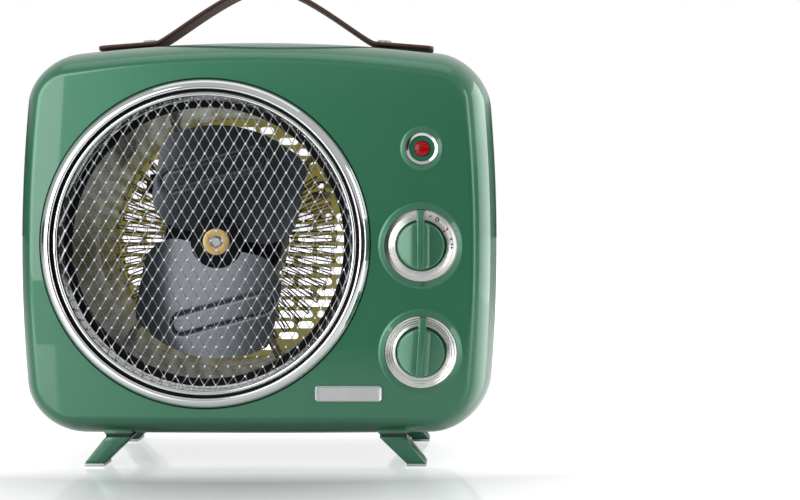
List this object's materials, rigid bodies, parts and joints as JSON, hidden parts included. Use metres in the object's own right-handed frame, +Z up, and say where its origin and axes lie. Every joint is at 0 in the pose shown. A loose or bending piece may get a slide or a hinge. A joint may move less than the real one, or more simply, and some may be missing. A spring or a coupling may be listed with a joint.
{
  "type": "fan heater",
  "caption": "Portable fan heater with a rounded enamelled metal body, a round mesh air outlet, turning knobs, a pilot light, splayed legs and a leather carrying strap.",
  "frame": {"origin": "middle of the whole object's box, on the floor under the soles", "axes": "+X to the right seen from the front, the front faces -Y, +Z up"},
  "size_m": [0.2674, 0.158, 0.2715],
  "materials": {
    "enamel": "glossy green enamel",
    "knob_enamel": "glossy green moulding",
    "chrome": "polished plating",
    "black_rubber": "matt",
    "mesh_wire": "bright plated",
    "black_paint": "satin black",
    "galvanised": "galvanised sheet",
    "zinc_gold": "yellow passivated",
    "steel": "plain bright",
    "fan_sheet": "satin",
    "brass": "satin",
    "copper_wire": "enamelled copper",
    "mica": "mica sheet",
    "heater_ribbon": "dark resistance alloy",
    "black_plastic": "moulded",
    "cream_plastic": "moulded",
    "red_lens": "clear red moulding",
    "badge_silver": "satin with a bare field",
    "leather": "smooth brown"
  },
  "bodies": {
    "housing": {"front_shell": "enamel", "rear_shell": "enamel", "seam_screws": "chrome", "bezel_ring": "chrome", "groove_gasket": "black_rubber", "lip_ring": "chrome", "grille_mesh": "mesh_wire", "duct_collar": "black_paint", "collar_nuts": "steel", "air_duct": "galvanised", "rear_grille": "zinc_gold", "rear_grille_screws": "chrome", "selector_dial_ring": "chrome", "selector_nut": "steel", "selector_switch": "black_plastic", "thermostat_dial_ring": "chrome", "thermostat_nut": "steel", "thermostat": "cream_plastic", "pilot_bezel": "chrome", "pilot_lens": "red_lens", "pilot_lamp": "black_plastic", "badge_plate": "badge_silver", "leg_front_right": "enamel", "leg_front_left": "enamel", "leg_rear_right": "enamel", "leg_rear_left": "enamel", "leg_pads": "black_rubber", "leg_soles": "chrome", "leg_screws": "steel", "carry_strap": "leather", "strap_studs": "chrome", "strap_spacers": "black_rubber", "strap_nuts": "steel", "motor_stator": "steel", "motor_windings": "copper_wire", "motor_front_cover": "black_paint", "motor_rear_cover": "black_paint", "motor_front_bearing": "brass", "motor_rear_bearing": "brass", "motor_bolts": "steel", "motor_standoffs": "zinc_gold", "motor_screws": "chrome", "element_frame": "mica", "heater_wire_low": "heater_ribbon", "heater_wire_high": "heater_ribbon", "thermal_cutout": "black_plastic", "terminal_cover": "zinc_gold", "terminal_block": "cream_plastic", "terminal_screws": "chrome", "cable_gland": "black_plastic", "gland_nut": "steel"},
    "fan": {"fan_impeller": "fan_sheet", "fan_hub": "brass", "motor_shaft": "steel", "motor_rotor": "steel"},
    "selector": {"selector_knob": "knob_enamel", "selector_shaft": "steel"},
    "thermostat_dial": {"thermostat_knob": "knob_enamel", "thermostat_shaft": "steel"}
  },
  "joints": [
    {"name": "fan_spin", "type": "hinge", "parent": "housing", "child": "fan", "pos_m": [-0.0249, 0, 0.1228], "axis": [0, 1, 0], "continuous": true},
    {"name": "selector_turn", "type": "hinge", "parent": "housing", "child": "selector", "pos_m": [0.0914, 0, 0.1217], "axis": [0, 1, 0], "range_deg": [0, 90]},
    {"name": "thermostat_turn", "type": "hinge", "parent": "housing", "child": "thermostat_dial", "pos_m": [0.0914, 0, 0.0644], "axis": [0, 1, 0], "range_deg": [-4, 266]}
  ]
}
